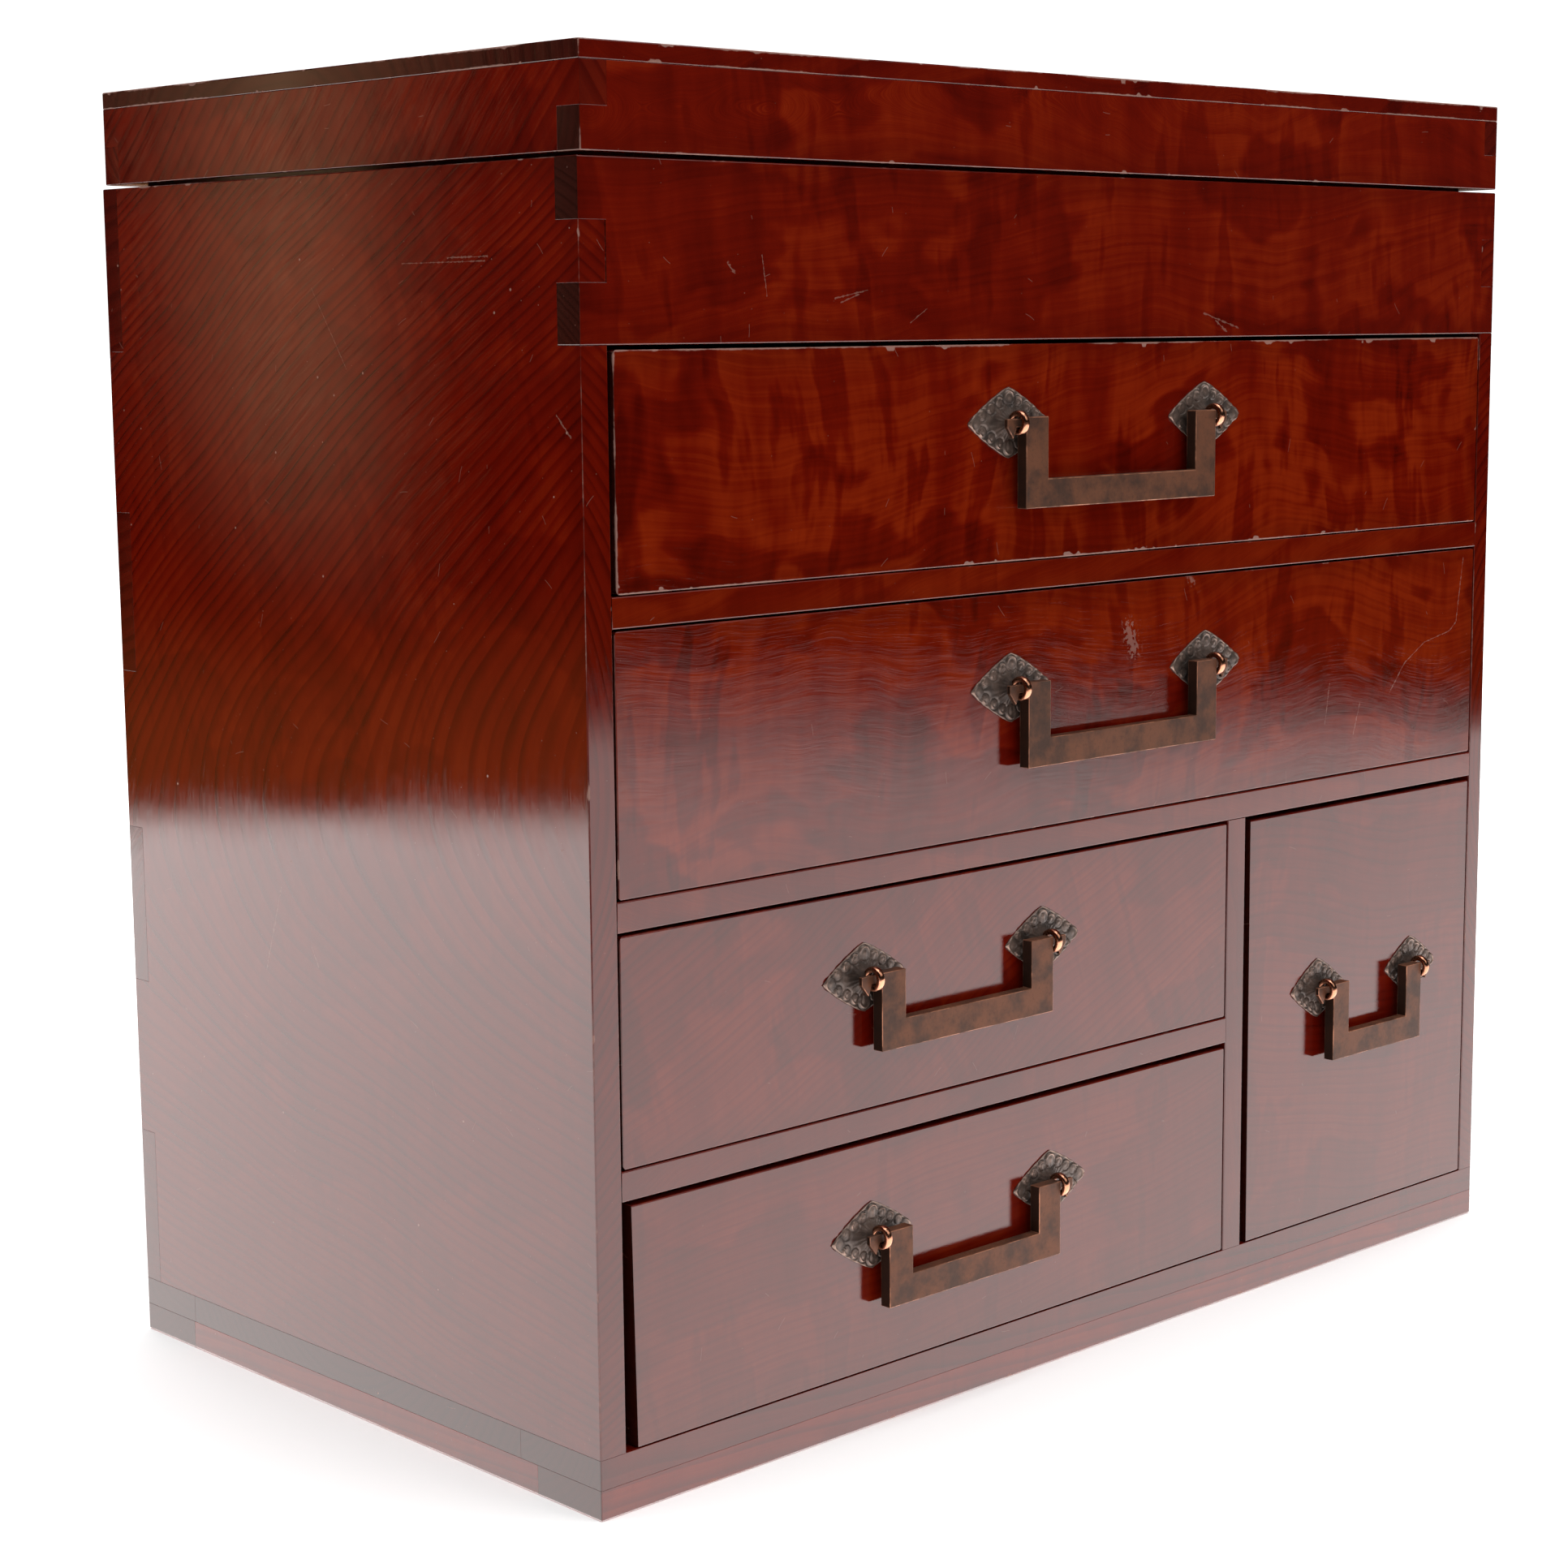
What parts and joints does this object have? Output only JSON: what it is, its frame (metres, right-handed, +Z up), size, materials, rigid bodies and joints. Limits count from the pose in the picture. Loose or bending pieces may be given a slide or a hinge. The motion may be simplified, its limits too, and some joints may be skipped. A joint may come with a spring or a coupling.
{
  "type": "apothecary cabinet",
  "caption": "Tabletop wooden medicine chest with finger-jointed case, stacked drawers with swinging bail handles on diamond plates, and a deep tray under a lift-off lid.",
  "frame": {"origin": "on the table, under the middle of the whole outline, handles included", "axes": "+X to the right as seen from the front, +Y from the drawer fronts to the back, +Z up"},
  "size_m": [0.36, 0.207, 0.344],
  "materials": {
    "lacquered_wood": "clear red-brown lacquer over figured hardwood, glossy",
    "plinth_wood": "clear red-brown lacquer, worn",
    "drawer_wood": "plain, unlacquered",
    "bronze": "dark bronze patina, satin, rubbed at the edges",
    "copper": "copper with dull patina"
  },
  "bodies": {
    "cabinet": {"side_left": "lacquered_wood", "side_right": "lacquered_wood", "fascia_board": "lacquered_wood", "back_board": "lacquered_wood", "tray_floor": "lacquered_wood", "shelf_upper": "lacquered_wood", "shelf_middle": "lacquered_wood", "shelf_lower": "lacquered_wood", "divider": "lacquered_wood", "bottom_front": "lacquered_wood", "bottom_middle": "lacquered_wood", "bottom_rear": "lacquered_wood", "plinth_frame": "plinth_wood", "lid_rim": "lacquered_wood"},
    "lid": {"lid_top": "lacquered_wood", "lid_front": "lacquered_wood", "lid_rear": "lacquered_wood", "lid_left": "lacquered_wood", "lid_right": "lacquered_wood"},
    "top_drawer": {"top_drawer_front": "lacquered_wood", "top_drawer_left": "drawer_wood", "top_drawer_right": "drawer_wood", "top_drawer_back": "drawer_wood", "top_drawer_bottom": "drawer_wood", "top_drawer_plate_left": "copper", "top_drawer_plate_right": "copper"},
    "top_bail": {"top_drawer_bail": "bronze"},
    "second_drawer": {"second_drawer_front": "lacquered_wood", "second_drawer_left": "drawer_wood", "second_drawer_right": "drawer_wood", "second_drawer_back": "drawer_wood", "second_drawer_bottom": "drawer_wood", "second_drawer_plate_left": "copper", "second_drawer_plate_right": "copper"},
    "second_bail": {"second_drawer_bail": "bronze"},
    "third_drawer": {"third_drawer_front": "lacquered_wood", "third_drawer_left": "drawer_wood", "third_drawer_right": "drawer_wood", "third_drawer_back": "drawer_wood", "third_drawer_bottom": "drawer_wood", "third_drawer_plate_left": "copper", "third_drawer_plate_right": "copper"},
    "third_bail": {"third_drawer_bail": "bronze"},
    "low_drawer": {"low_drawer_front": "lacquered_wood", "low_drawer_left": "drawer_wood", "low_drawer_right": "drawer_wood", "low_drawer_back": "drawer_wood", "low_drawer_bottom": "drawer_wood", "low_drawer_plate_left": "copper", "low_drawer_plate_right": "copper"},
    "low_bail": {"low_drawer_bail": "bronze"},
    "tall_drawer": {"tall_drawer_front": "lacquered_wood", "tall_drawer_left": "drawer_wood", "tall_drawer_right": "drawer_wood", "tall_drawer_back": "drawer_wood", "tall_drawer_bottom": "drawer_wood", "tall_drawer_plate_left": "copper", "tall_drawer_plate_right": "copper"},
    "tall_bail": {"tall_drawer_bail": "bronze"}
  },
  "joints": [
    {"name": "top_drawer_slide", "type": "slide", "parent": "cabinet", "child": "top_drawer", "axis": [0, -1, 0], "range_m": [0, 0.15]},
    {"name": "top_bail_swing", "type": "hinge", "parent": "top_drawer", "child": "top_bail", "pos_m": [0.0015, -0.10025, 0.2555], "axis": [-1, 0, 0], "range_deg": [-4, 180]},
    {"name": "second_drawer_slide", "type": "slide", "parent": "cabinet", "child": "second_drawer", "axis": [0, -1, 0], "range_m": [0, 0.15]},
    {"name": "second_bail_swing", "type": "hinge", "parent": "second_drawer", "child": "second_bail", "pos_m": [0.003, -0.10025, 0.187], "axis": [-1, 0, 0], "range_deg": [-4, 180]},
    {"name": "third_drawer_slide", "type": "slide", "parent": "cabinet", "child": "third_drawer", "axis": [0, -1, 0], "range_m": [0, 0.15]},
    {"name": "third_bail_swing", "type": "hinge", "parent": "third_drawer", "child": "third_bail", "pos_m": [-0.058, -0.10025, 0.1185], "axis": [-1, 0, 0], "range_deg": [-4, 180]},
    {"name": "low_drawer_slide", "type": "slide", "parent": "cabinet", "child": "low_drawer", "axis": [0, -1, 0], "range_m": [0, 0.15]},
    {"name": "low_bail_swing", "type": "hinge", "parent": "low_drawer", "child": "low_bail", "pos_m": [-0.05513, -0.10025, 0.051], "axis": [-1, 0, 0], "range_deg": [-4, 180]},
    {"name": "tall_drawer_slide", "type": "slide", "parent": "cabinet", "child": "tall_drawer", "axis": [0, -1, 0], "range_m": [0, 0.15]},
    {"name": "tall_bail_swing", "type": "hinge", "parent": "tall_drawer", "child": "tall_bail", "pos_m": [0.12062, -0.10025, 0.086], "axis": [-1, 0, 0], "range_deg": [-4, 180]},
    {"name": "lid_lift", "type": "slide", "parent": "cabinet", "child": "lid", "axis": [0, 0, 1], "range_m": [0, 0.08]}
  ]
}
